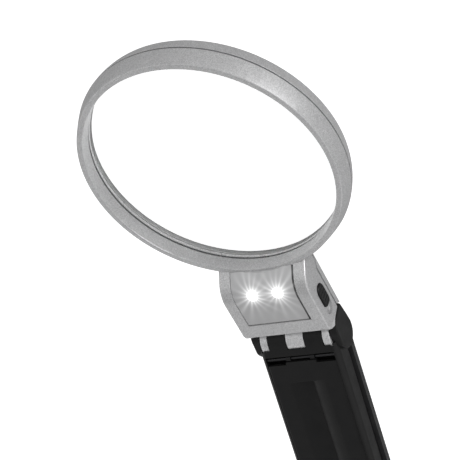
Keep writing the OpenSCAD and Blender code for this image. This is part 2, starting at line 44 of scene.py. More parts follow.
# Sizes in millimetres, the same as the CAD's
# ring: outer radius, depth, height of the outer seam and half its width and its depth, rim, inner seam
RING_R, RING_DEPTH = 56.8, 14.6
SEAM_Z, SEAM_HALF, SEAM_DEPTH = 6.6, 0.36, 1.3
RIM_R, RIM_IN, INNER_SEAM = 54.5, 52.4, 8.55
# lamp housing: half width, lower end, front and back faces, both sides of its seam, ramp
HALF_W, END_Y, TOP_Z, BACK_Z = 20.5, -83.4, 22.7, 5.9
COVER_TOP, HOUSE_LOW = 8.35, 8.7
BLEND_R, RAMP = 12.0, math.radians(52)
BLEND_Y = -58.2 - BLEND_R * math.tan(RAMP / 2)
# lens: height of its back edge, edge thickness, radii of the blank and of its curved part, and crowns
LENS_Z, LENS_EDGE, BLANK_R, OPTIC_R = 4.4, 1.6, 53.9, 52.05
FRONT_SAG, BACK_SAG = 5.6, 2.4
# hinge: axis, angle of the open handle, barrels, inner and outer faces of the ears
HINGE = Vector((0, -94.5, 13.0))
BEND = math.radians(20)
BARREL_R, EAR_IN, EAR_OUT = 8.3, 16.85, 20.8
# handle: half width, length, faces from the hinge axis, corner radius, battery space, bay for the leg
HALF_H, HANDLE_LEN, FRONT, BACK, EDGE_R = 18.6, 118.0, 8.3, 8.9, 3
SPACE_HALF, BAY_HALF, BAY_FLOOR = 16.55, 16.45, 5.9
RIDGE_H, ROD_H, ROD_Z = 5.4, 7.0, 6.7
# stand leg: its upper tab, the slots beside it, free end and half width
TAB_H, SLOT_H, TAB_HALF = 8.2, 9.4, 7.2
LEG_END, LEG_HALF = 108.0, 16.3
# switch button: upper end, length, width and height; lower end of its recess
SWITCH_Y, SWITCH_LEN, SWITCH_W, SWITCH_Z = -65.6, 10.8, 6.0, 14.7
RECESS_END = -81.1
HANDLE_FRAME = Matrix.Translation(HINGE) @ Matrix.Rotation(-BEND, 4, "X")
IDENTITY = Matrix.Identity(4)


# ---------------------------------------------------------------- outlines

def arc(centre, radius, start, end, steps=8):
    """Points of an arc, angles in degrees."""
    turn = [math.radians(start + (end - start) * i / steps) for i in range(steps + 1)]
    return [(centre[0] + radius * math.cos(a), centre[1] + radius * math.sin(a)) for a in turn]


def rounded(points, radii, steps=5):
    """A closed outline with its corners rounded; radii is one number or one per point."""
    out = []
    count = len(points)
    for i, point in enumerate(points):
        radius = radii[i] if isinstance(radii, (list, tuple)) else radii
        p, a, b = Vector(point), Vector(points[i - 1]), Vector(points[(i + 1) % count])
        u, v = (a - p).normalized(), (b - p).normalized()
        angle = math.acos(max(-1.0, min(1.0, u.dot(v))))
        if radius <= 0 or angle > math.pi - 0.03:
            out.append((p.x, p.y))
            continue
        reach = min(radius / math.tan(angle / 2), 0.48 * (a - p).length, 0.48 * (b - p).length)
        r = reach * math.tan(angle / 2)
        c = p + (u + v).normalized() * (r / math.sin(angle / 2))
        first, last = p + u * reach - c, p + v * reach - c
        a0, a1 = math.atan2(first.y, first.x), math.atan2(last.y, last.x)
        sweep = (a1 - a0 + math.pi) % (2 * math.pi) - math.pi
        for k in range(steps + 1):
            a = a0 + sweep * k / steps
            out.append((c.x + r * math.cos(a), c.y + r * math.sin(a)))
    return out


def bow(start, pull, end, steps=12):
    """Points of a quadratic curve drawn towards its middle point."""
    points = []
    for i in range(steps + 1):
        t, u = i / steps, 1 - i / steps
        points.append(tuple(u * u * a + 2 * t * u * b + t * t * c for a, b, c in zip(start, pull, end)))
    return points


def tidy(points, least=0.004):
    """Drops points that repeat the one before."""
    out = []
    for p in points:
        if not out or math.dist(p, out[-1]) > least:
            out.append(p)
    if math.dist(out[0], out[-1]) <= least:
        out.pop()
    return out


def area(points):
    """Signed area of an outline, above zero when it runs anticlockwise."""
    return sum(a[0] * b[1] - b[0] * a[1] for a, b in zip(points, points[1:] + points[:1])) / 2


def inset(points, depth):
    """A closed anticlockwise outline moved inwards, corner by corner."""
    out = []
    count = len(points)
    for i in range(count):
        p, a, b = Vector(points[i]), Vector(points[i - 1]), Vector(points[(i + 1) % count])
        d0, d1 = (p - a).normalized(), (b - p).normalized()
        n0, n1 = Vector((-d0.y, d0.x)), Vector((-d1.y, d1.x))
        m = (n0 + n1) / max(0.25, 1 + n0.dot(n1))
        q = p + m * depth
        out.append((q.x, q.y))
    return out


def front_line(d, y0):
    """The housing's front line moved inwards by d, from its lower edge to the foot of the ramp."""
    end = 90 - math.degrees(RAMP)
    r = BLEND_R - d
    curve = arc((BLEND_Y, TOP_Z - BLEND_R), r, 90, end, 14)
    foot = curve[-1]
    ramp_foot = (foot[0] + 13 * math.cos(RAMP), foot[1] - 13 * math.sin(RAMP))
    return [(y0, TOP_Z - d)] + curve + [ramp_foot]


def ear_outline(grow=0.0, turn=0.0):
    """Outline of a hinge ear in Y and Z about the hinge axis, turned by an angle in radians."""
    mid, tip, r_a, r_b, r_c = Vector((3.0, -0.3)), Vector((9.6, -5.1)), 7.4, 6.9, 1.4
    reach = tip - mid
    line = math.degrees(math.atan2(reach.y, reach.x))
    spread = math.degrees(math.acos((r_b - r_c) / reach.length))
    points = arc((0, 0), r_a + grow, 98, 265, 36)
    points += arc(mid, r_b + grow, 275, line - spread + 360, 4)
    points += arc(tip, r_c + grow, line - spread, line + spread, 12)
    points += arc(mid, r_b + grow, line + spread, 88, 14)
    c, s = math.cos(turn), math.sin(turn)
    return [(c * y - s * z, s * y + c * z) for y, z in points]


# ---------------------------------------------------------------- meshes

def new_object(name, verts, faces, place=IDENTITY):
    """A mesh object from millimetre points, placed, in metres."""
    mesh = bpy.data.meshes.new(name)
    mesh.from_pydata([MM * (place @ Vector(v)) for v in verts], [], faces)
    mesh.validate()
    obj = bpy.data.objects.new(name, mesh)
    bpy.context.scene.collection.objects.link(obj)
    return obj


def lathe(name, profile, segments=288):
    """A closed (r, z) outline turned about the Z axis."""
    profile = tidy(profile)
    if area(profile) < 0:
        profile = profile[::-1]
    count = len(profile)
    verts, faces = [], []
    for k in range(segments):
        a = 2 * math.pi * k / segments
        verts += [(r * math.cos(a), r * math.sin(a), z) for r, z in profile]
    for k in range(segments):
        for i in range(count):
            j, m = (i + 1) % count, (k + 1) % segments
            faces.append((k * count + i, m * count + i, m * count + j, k * count + j))
    return new_object(name, verts, faces)


def disc(name, profile, segments=288):
    """A solid (r, z) outline turned about the Z axis; its first and last points lie on the axis."""
    rows = profile[1:-1]
    count = len(rows)
    verts = [(0, 0, profile[0][1]), (0, 0, profile[-1][1])]
    faces = []
    for k in range(segments):
        a = 2 * math.pi * k / segments
        verts += [(r * math.cos(a), r * math.sin(a), z) for r, z in rows]
    for k in range(segments):
        here, there = 2 + k * count, 2 + (k + 1) % segments * count
        faces.append((0, there, here))
        faces.append((1, here + count - 1, there + count - 1))
        faces += [(here + i, there + i, there + i + 1, here + i + 1) for i in range(count - 1)]
    return new_object(name, verts, faces)


def prism(name, outline, low, high, rims=(0, 0), axis="x", place=IDENTITY, steps=4):
    """A closed outline run along an axis from low to high, with rounded rims at its two ends.
    Outlines are (y, z) along x, (x, z) along y and (x, y) along z."""
    outline = tidy(outline)
    if area(outline) < 0:
        outline = outline[::-1]
    layers = []
    if rims[0] > 0:
        layers = [(low + rims[0] * (1 - math.cos(t)), rims[0] * (1 - math.sin(t)))
                  for t in [math.pi / 2 * k / steps for k in range(steps)]]
    layers.append((low + rims[0], 0))
    layers.append((high - rims[1], 0))
    if rims[1] > 0:
        layers += [(high - rims[1] * (1 - math.cos(t)), rims[1] * (1 - math.sin(t)))
                   for t in [math.pi / 2 * (steps - 1 - k) / steps for k in range(steps)]]
    count = len(outline)
    verts, faces = [], []
    for w, depth in layers:
        ring = inset(outline, depth) if depth > 1e-9 else outline
        for u, v in ring:
            verts.append({"x": (w, u, v), "y": (u, w, v), "z": (u, v, w)}[axis])
    for k in range(len(layers) - 1):
        for i in range(count):
            j = (i + 1) % count
            quad = (k * count + i, k * count + j, (k + 1) * count + j, (k + 1) * count + i)
            faces.append(quad[::-1] if axis == "y" else quad)
    first = tuple(range(count))
    last = tuple((len(layers) - 1) * count + i for i in range(count))
    faces.append(first if axis == "y" else first[::-1])
    faces.append(last[::-1] if axis == "y" else last)
    return new_object(name, verts, faces, place)


def drum(name, r, low, high, at=(0, 0), axis="x", rims=(0, 0), place=IDENTITY, segments=96):
    """A cylinder along an axis, with rounded rims."""
    outline = arc(at, r, 0, 360, segments)[:-1]
    return prism(name, outline, low, high, rims, axis, place)


def box(name, low, high, place=IDENTITY):
    """A plain block between two corners, for cutting and joining."""
    outline = [(low[0], low[1]), (high[0], low[1]), (high[0], high[1]), (low[0], high[1])]
    return prism(name, outline, low[2], high[2], axis="z", place=place)


def baked(obj):
    """Applies the object's modifiers to its mesh."""
    graph = bpy.context.evaluated_depsgraph_get()
    mesh = bpy.data.meshes.new_from_object(obj.evaluated_get(graph))
    obj.modifiers.clear()
    obj.data = mesh


def combine(base, others, how):
    """Adds, cuts or intersects other objects, which are used up."""
    for other in others:
        mod = base.modifiers.new("part", "BOOLEAN")
        mod.operation = how
        mod.solver = "EXACT"
        mod.object = other
        baked(base)
        bpy.data.objects.remove(other)
    return base


def add(base, *others):
    return combine(base, others, "UNION")


def cut(base, *others):
    return combine(base, others, "DIFFERENCE")


def common(base, *others):
    return combine(base, others, "INTERSECT")


def joined(base, *others):
    """Puts other closed pieces into the same mesh, with their faces as they are."""
    mesh = bmesh.new()
    for obj in (base, *others):
        mesh.from_mesh(obj.data)
    mesh.to_mesh(base.data)
    mesh.free()
    for obj in others:
        bpy.data.objects.remove(obj)
    return base


def span(side, low, high):
    """An X range on one side of the middle plane, in rising order."""
    return (low, high) if side > 0 else (-high, -low)


def rims_of(side, inner, outer):
    """Rim radii of a piece on one side of the middle plane, for its inner and outer faces."""
    return (inner, outer) if side > 0 else (outer, inner)


def soften(obj, angle=28):
    """Smooth shading with sharp edges above an angle, and normals weighted by area."""
    mesh = obj.data
    mesh.polygons.foreach_set("use_smooth", [True] * len(mesh.polygons))
    normals = [p.normal.copy() for p in mesh.polygons]
    faces_of = {}
    for p in mesh.polygons:
        for key in p.edge_keys:
            faces_of.setdefault(key, []).append(p.index)
    limit = math.radians(angle)
    for edge in mesh.edges:
        near = faces_of.get(tuple(sorted(edge.vertices)), [])
        sharp = len(near) != 2 or normals[near[0]].angle(normals[near[1]], 0) > limit
        edge.use_edge_sharp = sharp
    mod = obj.modifiers.new("normals", "WEIGHTED_NORMAL")
    mod.keep_sharp = True


def piece(obj, name, body, material, slot, *replaced, angle=28):
    """Names, shades and places a finished piece on its body."""
    obj.name = name
    obj.data.name = name
    obj.data.materials.clear()
    obj.data.materials.append(material)
    soften(obj, angle)
    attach(obj, body)
    if replaced:
        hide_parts(*replaced)
    return obj


# ---------------------------------------------------------------- materials

class Nodes:
    """A small helper that builds a node material in object coordinates."""

    def __init__(self, name):
        self.material = bpy.data.materials.new(name)
        self.material.use_nodes = True
        self.tree = self.material.node_tree
        self.shader = self.tree.nodes["Principled BSDF"]
        self.output = self.tree.nodes["Material Output"]
        self.where = self.make("ShaderNodeTexCoord").outputs["Object"]

    def make(self, kind, **settings):
        node = self.tree.nodes.new(kind)
        for key, value in settings.items():
            setattr(node, key, value)
        return node

    def link(self, a, b):
        self.tree.links.new(a, b)

    def feed(self, socket, value):
        if isinstance(value, bpy.types.NodeSocket):
            self.link(value, socket)
        else:
            socket.default_value = value

    def noise(self, size_mm, detail=3.0, rough=0.5, vector=None):
        """Noise between 0 and 1 whose features are about size_mm across."""
        node = self.make("ShaderNodeTexNoise")
        self.feed(node.inputs["Vector"], vector or self.where)
        node.inputs["Scale"].default_value = 1 / (size_mm * MM)
        node.inputs["Detail"].default_value = detail
        node.inputs["Roughness"].default_value = rough
        return node.outputs["Fac"]

    def cells(self, size_mm):
        """A random colour for each small cell."""
        node = self.make("ShaderNodeTexVoronoi")
        self.link(self.where, node.inputs["Vector"])
        node.inputs["Scale"].default_value = 1 / (size_mm * MM)
        return node.outputs["Color"]

    def axis(self, letter, vector=None):
        """One coordinate of a vector, in metres."""
        node = self.make("ShaderNodeSeparateXYZ")
        self.link(vector or self.where, node.inputs[0])
        return node.outputs[letter]

    def span(self, value, low, high, start=0.0, end=1.0):
        """Maps a value from low..high to start..end."""
        node = self.make("ShaderNodeMapRange")
        sockets = ("Value", "From Min", "From Max", "To Min", "To Max")
        for key, number in zip(sockets, (value, low, high, start, end)):
            self.feed(node.inputs[key], number)
        return node.outputs["Result"]

    def math(self, how, a, b=0.0, c=0.0):
        node = self.make("ShaderNodeMath", operation=how)
        for socket, value in zip(node.inputs, (a, b, c)):
            self.feed(socket, value)
        return node.outputs[0]

    def vector(self, how, a, b=(0, 0, 0)):
        node = self.make("ShaderNodeVectorMath", operation=how)
        self.feed(node.inputs[0], a)
        self.feed(node.inputs[1], b)
        return node.outputs["Value" if how in ("LENGTH", "DOT_PRODUCT") else "Vector"]

    def mix(self, fac, a, b):
        node = self.make("ShaderNodeMix", data_type="RGBA")
        self.feed(node.inputs["Factor"], fac)
        for socket, value in ((node.inputs[6], a), (node.inputs[7], b)):
            self.feed(socket, value if isinstance(value, bpy.types.NodeSocket) else (*value, 1.0))
        return node.outputs[2]

    def bump(self, height, depth_mm, edge_mm=0.0):
        """A bump of about depth_mm, with edges softened over edge_mm."""
        node = self.make("ShaderNodeBump")
        node.inputs["Strength"].default_value = 1.0
        node.inputs["Distance"].default_value = depth_mm * MM
        self.feed(node.inputs["Height"], height)
        if edge_mm > 0:
            edge = self.make("ShaderNodeBevel", samples=4)
            edge.inputs["Radius"].default_value = edge_mm * MM
            self.link(edge.outputs["Normal"], node.inputs["Normal"])
        self.link(node.outputs["Normal"], self.shader.inputs["Normal"])

    def set(self, **values):
        """Feeds the shader's inputs by their short names."""
        names = {
            "color": "Base Color", "metallic": "Metallic", "rough": "Roughness", "ior": "IOR",
            "specular": "Specular IOR Level", "transmission": "Transmission Weight", "alpha": "Alpha",
            "coat": "Coat Weight", "coat_rough": "Coat Roughness",
            "emission": "Emission Color", "glow": "Emission Strength",
        }
        for key, value in values.items():
            if isinstance(value, tuple) and len(value) == 3:
                value = (*value, 1.0)
            self.feed(self.shader.inputs[names[key]], value)


def silver_paint(name, level=0.5, rough=0.36):
    """Satin metallic paint: fine flake, slight mottling, a thin dull coat, and a painted highlight that
    makes it brighter at the hinge.
    """
    n = Nodes(name)
    flake = n.cells(0.26)
    sparkle = n.span(n.vector("DOT_PRODUCT", flake, (0.33, 0.33, 0.33)), 0.2, 0.8, 0.76, 1.24)
    cloud = n.span(n.noise(14, 3), 0.3, 0.7, 0.97, 1.03)
    # painted highlight: the paint is made up to 1.38 times brighter below Y -83.8 mm, on the hinge knuckles
    # and cheeks, standing in for light they catch
    hinge_painted_highlight = n.span(n.axis("Y"), -0.0838, -0.0850, 1.0, 1.38)
    tone = n.math("MULTIPLY", n.math("MULTIPLY", sparkle, cloud), hinge_painted_highlight)
    base = n.mix(n.math("MULTIPLY", tone, 0.5), (0, 0, 0), (2 * level, 2 * level, 2.02 * level))
    n.set(color=base, metallic=0.55, coat=0.1, coat_rough=0.25)
    n.set(rough=n.span(n.noise(3, 4), 0.3, 0.7, rough - 0.04, rough + 0.06))
    n.bump(n.noise(0.22, 2), 0.006, 0.18)
    return n.material


def black_plastic(name, level=0.005, rough=0.42, grain_mm=0.28, depth=0.008):
    """Moulded black plastic: fine spark-eroded grain, faint rubbing marks."""
    n = Nodes(name)
    rub = n.span(n.noise(9, 5, 0.6), 0.45, 0.75)
    base = n.mix(rub, (level, level, level * 1.04), (level * 1.3, level * 1.3, level * 1.3))
    n.set(color=base, specular=0.26)
    n.set(rough=n.span(n.noise(5, 4), 0.3, 0.7, rough - 0.04, rough + 0.07))
    n.bump(n.noise(grain_mm, 2), depth, 0.2)
    return n.material


def metal(name, color, rough=0.25, brush_mm=0.12):
    """Drawn metal with fine lines along X."""
    n = Nodes(name)
    stretched = n.vector("MULTIPLY", n.where, (0.04, 1.0, 1.0))
    lines = n.noise(brush_mm, 3, 0.6, stretched)
    dark = tuple(0.82 * c for c in color)
    n.set(color=n.mix(lines, dark, color), metallic=1.0)
    n.set(rough=n.span(lines, 0.2, 0.8, rough - 0.06, rough + 0.08))
    n.bump(lines, 0.003, 0.1)
    return n.material


def plain_plastic(name, color, rough=0.45):
    """Small moulded parts: slight mottling and grain."""
    n = Nodes(name)
    dark = tuple(0.8 * c for c in color)
    n.set(color=n.mix(n.noise(1.5, 4), dark, color))
    n.set(rough=n.span(n.noise(0.8), 0.3, 0.7, rough - 0.05, rough + 0.08))
    n.bump(n.noise(0.2), 0.008, 0.1)
    return n.material


def rubber(name):
    """Dull soft pads with fine grain."""
    n = Nodes(name)
    n.set(color=n.mix(n.noise(2, 4), (0.012, 0.012, 0.012), (0.024, 0.024, 0.024)), rough=0.75, specular=0.3)
    n.bump(n.noise(0.25), 0.03, 0.2)
    return n.material


def lens_glass(name):
    """Clear glass with the faintest uneven polish."""
    n = Nodes(name)
    n.set(color=(0.985, 0.99, 0.988), transmission=1.0, ior=1.5, specular=0.5)
    n.set(rough=n.span(n.noise(12, 3), 0.45, 0.8, 0.0, 0.012))
    # light passes through the glass to what lies under it
    mix = n.make("ShaderNodeMixShader")
    n.link(n.make("ShaderNodeLightPath").outputs["Is Shadow Ray"], mix.inputs["Fac"])
    n.link(n.shader.outputs["BSDF"], mix.inputs[1])
    n.link(n.make("ShaderNodeBsdfTransparent").outputs["BSDF"], mix.inputs[2])
    n.link(mix.outputs["Shader"], n.output.inputs["Surface"])
    return n.material


def painted_lamp_glare(n, at, turn, rays=16.0, disc_mm=(2.7, 2.0), halo_mm=3.4, ray_mm=4.3):
    """Strength of one lamp's glare painted on the window as glow: a soft disc, a halo and a star of rays."""
    offset = n.vector("SUBTRACT", n.where, tuple(MM * c for c in at))
    reach = n.math("MULTIPLY", n.vector("LENGTH", offset), 1 / MM)
    angle = n.math("ARCTAN2", n.axis("Y", offset), n.axis("X", offset))
    wave = n.math("COSINE", n.math("ADD", n.math("MULTIPLY", angle, rays), turn))
    slow = n.math("COSINE", n.math("ADD", n.math("MULTIPLY", angle, 3.0), 2.3 * turn))
    ray = n.math("POWER", n.math("MULTIPLY_ADD", wave, 0.5, 0.5), 1.7)
    ray_length = n.math("MULTIPLY_ADD", slow, 0.9, ray_mm)
    fade = n.math("EXPONENT", n.math("DIVIDE", n.math("MULTIPLY", reach, -1.0), ray_length))
    ray = n.math("MULTIPLY", ray, fade)
    halo = n.math("POWER", n.math("DIVIDE", reach, halo_mm), 2.0)
    halo = n.math("EXPONENT", n.math("MULTIPLY", halo, -1.0))
    core = n.span(reach, *disc_mm)
    return n.math("ADD", n.math("MULTIPLY", ray, 0.62), n.math("MULTIPLY_ADD", halo, 0.75, core))


def window_plastic(name):
    """Lightly frosted clear plastic over the lit reflector, with the glare of the two lamps painted on as
    glow and a painted shadow line along its right edge.
    """
    n = Nodes(name)
    clear = n.mix(n.noise(10, 3), (0.48, 0.48, 0.485), (0.52, 0.52, 0.525))
    # painted shadow: a near-black line past X 13.9 mm on the window's right edge, standing in for the shade
    # in the gap beside it
    painted_shadow_edge = n.span(n.axis("X"), 0.0139, 0.0141)
    n.set(color=n.mix(painted_shadow_edge, clear, (0.03, 0.03, 0.03)), rough=0.3, specular=0.5)
    n.set(metallic=0.25, alpha=0.8)
    # painted light: the glare of the two lamps is painted onto the window as emission
    left, right = (painted_lamp_glare(n, (x, -60.6, 21.8), turn) for x, turn in ((-6.0, 0.4), (6.0, 1.9)))
    n.set(emission=(1.0, 1.0, 1.0), glow=n.math("ADD", left, right))
    n.bump(n.noise(0.5), 0.004, 0.2)
    return n.material


def lamp_plastic(name):
    """Clear epoxy lamp, brightest in its middle."""
    n = Nodes(name)
    height = n.span(n.axis("Z"), 0.013, 0.020, 0.3, 1.2)
    n.set(color=(0.95, 0.95, 0.93), rough=0.12, emission=(1.0, 0.99, 0.96), glow=height)
    n.bump(n.noise(0.6), 0.002)
    return n.material


def cell_jacket(name):
    """Plain two-tone jacket of a dry cell, bands along its length."""
    n = Nodes(name)
    band = n.span(n.axis("Y"), -0.1492, -0.1490)
    base = n.mix(band, (0.45, 0.30, 0.10), (0.03, 0.03, 0.035))
    n.set(color=base, metallic=0.6, rough=0.3)
    n.bump(n.noise(0.4), 0.004, 0.1)
    return n.material


SILVER = silver_paint("silver_paint")
SILVER_TRIM = silver_paint("silver_trim_paint", 0.55, 0.3)
BLACK = black_plastic("black_plastic")
# painted highlight: a lighter copy of the black plastic for the battery cover, standing in for the light its
# side catches
BLACK_LIT_COVER = black_plastic("black_cover_painted_highlight_plastic", 0.026, 0.4)
# painted shade: a darker, duller copy of the black plastic for the battery tray and switch body; on the tray
# it stands in for the shade in the groove along the handle's sides
BLACK_PAINTED_SHADE = black_plastic("black_painted_shade_plastic", 0.003, 0.6)
BLACK_BUTTON = black_plastic("black_button_plastic", 0.006, 0.4)
RUBBER = rubber("dark_rubber")
STEEL = metal("bright_steel", (0.62, 0.62, 0.64))
DARK_STEEL = metal("dark_steel", (0.05, 0.05, 0.052), 0.35)
PALE_GASKET = plain_plastic("pale_gasket", (0.8, 0.8, 0.79), 0.5)
BRASS = metal("plated_contact", (0.72, 0.6, 0.34), 0.3)
REFLECTOR = metal("reflector_plate_finish", (0.7, 0.7, 0.71), 0.4, 0.6)
GLASS = lens_glass("lens_glass")
WINDOW = window_plastic("window_plastic")
LAMP = lamp_plastic("lamp_plastic")
BOARD = plain_plastic("board_laminate", (0.03, 0.14, 0.06))
CHIP = plain_plastic("resistor_body", (0.03, 0.03, 0.03))
LEAD = plain_plastic("lead_insulation", (0.4, 0.03, 0.02))
CELL = cell_jacket("cell_jacket")


# ---------------------------------------------------------------- head pieces

def ring_front_wall():
    """The ring's outer wall from the front rim down to the seam."""
    return bow((RIM_R + 0.3, RING_DEPTH - 0.25), (RING_R - 0.95, 11.2), (RING_R, SEAM_Z + SEAM_HALF))


def ring_back_wall():
    """The ring's outer wall from the seam down to the back rim."""
    return bow((RING_R, SEAM_Z - SEAM_HALF), (RING_R - 0.4, 2.4), (RING_R - 1.4, 0.35))


def make_front_shell():
    front = [(51.9, INNER_SEAM), (RIM_IN, RING_DEPTH), (RIM_R, RING_DEPTH)]
    front += ring_front_wall()
    front += [(RING_R - SEAM_DEPTH, SEAM_Z + SEAM_HALF), (RING_R - SEAM_DEPTH, SEAM_Z + 0.05)]
    front += [(54.4, SEAM_Z + 0.05), (54.4, INNER_SEAM)]
    ring = lathe("ring", rounded(front, [0.12, 0.35, 0.25] + [0] * 12 + [0.1, 0, 0, 0, 0], 5))
    foot = [(-50, SEAM_Z + 0.05), (-58.1, SEAM_Z + 0.05), (-61.5, HOUSE_LOW)]
    core = prism("core", front_line(0, END_Y) + foot + [(END_Y, HOUSE_LOW)], -17, 17)
    top = front_line(0, -82.6)
    cheek = [(-83.9, HOUSE_LOW), (-86.0, 10.4), (-87.2, 14.4), (-86.9, 17.4), (-85.7, 20.2), (-84.3, 22.0)]
    flank = rounded(top + foot + cheek, [0] * (len(top) + len(foot)) + [0, 1, 3, 3, 3, 1.2], 4)
    add(core, *[prism("slab", flank, *span(s, 17, HALF_W), rims=rims_of(s, 0, 0.9), steps=6)
                for s in (1, -1)])
    # the housing stops just inside the ring's own skin
    inside = [(-1, -1), (54.9, -1), (54.9, SEAM_Z + 0.4)]
    inside += [(r - 0.3, z) for r, z in ring_front_wall()[::-1][1:]] + [(54.2, 14.42), (-1, 14.42)]
    cut(core, disc("under", inside), drum("well", 53.3, 14.3, 60, axis="z", segments=288))
    # window seat, the opening behind it and the space round the lamps
    seat = front_line(1.65, -76.78) + [(-45, 60), (-76.78, 60)]
    seat = prism("seat", seat, -15.05, 15.05)
    cut(core, common(seat, box("above", (-30, -90, 14.65), (30, -40, 70))))
    cut(core, box("opening", (-13.4, -74.9, 12), (13.4, -57.8, 40)))
    cut(core, box("chamber", (-16.2, -80, 9.5), (16.2, -58.2, 18.6)))
    # hinge knuckles
    for low, high in ((-4.2, 4.2), (13.2, 16.6), (-16.6, -13.2)):
        knuckle = drum("knuckle", BARREL_R - 0.1, low, high, (HINGE.y, HINGE.z), rims=(0.3, 0.3),
                       segments=120)
        add(knuckle, box("web", (low, HINGE.y, 8.75), (high, END_Y + 1, 15.0)))
        add(core, knuckle)
    # pockets for the ears, the switch recess
    pocket = [(y + HINGE.y, z + HINGE.z) for y, z in ear_outline(0.4)]
    for side in (1, -1):
        cut(core, prism("pocket", pocket, *span(side, EAR_IN - 0.15, 22)))
    r = SWITCH_W / 2 + 0.3
    slot = arc((SWITCH_Y + 0.3 - r, SWITCH_Z), r, -90, 90, 20)
    slot += arc((RECESS_END + r, SWITCH_Z), r, 90, 270, 20)
    cut(core, prism("recess", slot, HALF_W - 1.45, 22))
    joined(core, ring)
    return piece(core, "front_shell_body", "head", SILVER, "silver_shell", "front_shell")


def make_back_shell():
    back = [(RING_R - SEAM_DEPTH, SEAM_Z - 0.05), (RING_R - SEAM_DEPTH, SEAM_Z - SEAM_HALF)]
    back += ring_back_wall()
    back += [(RING_R - 2, 0), (52.6, 0), (52.2, 0.4), (52.2, 3.95), (54.2, 3.95), (54.2, SEAM_Z - 0.05)]
    ring = lathe("ring", rounded(back, [0, 0, 0.1] + [0] * 12 + [0.3, 0.3, 0.2, 0.1, 0, 0], 5))
    outline = [(-50, BACK_Z), (-50, SEAM_Z - 0.05), (-57.9, SEAM_Z - 0.05), (-61.4, COVER_TOP)]
    outline += [(-86.3, COVER_TOP - 0.1), (-86.3, BACK_Z)]
    cover = prism("cover", rounded(outline, [0, 0, 0, 0, 0.35, 1.0], 5), -HALF_W, HALF_W, rims=(0.2, 0.2))
    plan = [(-22, -45), (22, -45), (22, -84.6), (16.5, -84.6)]
    plan += [(16.5, -86.4), (-16.5, -86.4), (-16.5, -84.6), (-22, -84.6)]
    common(cover, prism("plan", plan, 0, 30, axis="z"))
    cut(cover, drum("under", 54.8, -1, 30, axis="z", segments=288))
    for side in (1, -1):
        cut(cover, drum("sweep", 12.65, *span(side, EAR_IN - 0.15, 22), (HINGE.y, HINGE.z), segments=120))
        cut(cover, drum("sink", 2.3, 4, 6.85, (side * 13.5, -78.2), axis="z", segments=48))
    # shallow moulded panel line on the back of the housing
    panel = rounded([(-10, -62.5), (10, -62.5), (10, -75.5), (-10, -75.5)], 1.5, 6)
    groove = prism("groove", panel, 5, 6.15, axis="z")
    inner = rounded([(-9.6, -62.9), (9.6, -62.9), (9.6, -75.1), (-9.6, -75.1)], 1.2, 6)
    cut(groove, prism("inner", inner, 4, 7, axis="z"))
    cut(cover, groove)
    joined(cover, ring)
    return piece(cover, "back_shell_body", "head", SILVER, "silver_shell", "back_shell")


def lens_face(sag, z, sign, count=40):
    """Points of a spherical face from the curved part's edge to the middle."""
    radius = (OPTIC_R ** 2 + sag ** 2) / (2 * sag)
    rows = [OPTIC_R * (1 - k / count) for k in range(count + 1)]
    return [(r, z + sign * (math.sqrt(radius ** 2 - r ** 2) - (radius - sag))) for r in rows]


def make_lens():
    top, bevel = LENS_Z + LENS_EDGE, 0.15
    rim = [(BLANK_R - bevel, LENS_Z), (BLANK_R, LENS_Z + bevel)]
    rim += [(BLANK_R, top - bevel), (BLANK_R - bevel, top)]
    outline = lens_face(BACK_SAG, LENS_Z, -1)[::-1] + rim + lens_face(FRONT_SAG, top, 1)
    lens = disc("lens_blank", outline, 192)
    return piece(lens, "lens_blank", "head", GLASS, "lens_glass", "lens", angle=40)


def make_retainer():
    profile = [(52.15, 6.08), (54.1, 6.08), (54.1, 6.4), (52.6, 6.4), (52.6, 7.25), (52.2, 7.25)]
    profile = rounded(profile, [0.1, 0, 0, 0.1, 0.1, 0.12], 5)
    ring = lathe("retainer", profile)
    return piece(ring, "retainer_ring", "head", SILVER_TRIM, "silver_trim", "lens_retainer")


def make_window():
    outer = front_line(0.35, -76.5)
    inner = front_line(1.6, -76.5)
    outline = rounded(outer + inner[::-1], [0.3] + [0] * (2 * len(outer) - 1), 4)
    window = prism("window", outline, -15.0, 14.75, rims=(0.22, 0.22))
    common(window, box("above", (-30, -90, 14.7), (30, -40, 70)))
    cut(window, drum("well", 53.42, 10, 60, axis="z", segments=288))
    return piece(window, "window_pane", "head", WINDOW, "window_clear", "lamp_window")


def make_button():
    r = SWITCH_W / 2
    low_y, high_y = SWITCH_Y - SWITCH_LEN, SWITCH_Y
    outline = arc((high_y - r, SWITCH_Z), r, -90, 90, 20) + [(low_y, SWITCH_Z + r), (low_y, SWITCH_Z - r)]
    outline = rounded(outline, [0] * 21 + [1.9, 1.9], 6)
    button = prism("button", outline, HALF_W - 1.3, HALF_W + 0.7, rims=(0, 0.6), steps=5)
    for i in range(-2, 3):
        y = (low_y + high_y) / 2 + 1.9 * i
        rib = drum("rib", 0.6, SWITCH_Z - 4, SWITCH_Z + 4, (HALF_W + 1.12, y), axis="z", segments=24)
        cut(button, rib)
    add(button, box("stem", (15, -72.1, 13.7), (HALF_W - 1.1, -69.9, 15.7)))
    return piece(button, "switch_button", "switch", BLACK_BUTTON, "black_button", "switch_slider")


# ---------------------------------------------------------------- handle pieces

def handle_section():
    """Cross-section of the handle's shell: rounded front edges and straight sides, open towards the back."""
    r = EDGE_R
    corners = arc((HALF_H - r, FRONT - r), r, 0, 90, 10) + arc((r - HALF_H, FRONT - r), r, 90, 180, 10)
    return [(HALF_H, -20)] + corners + [(-HALF_H, -20)]


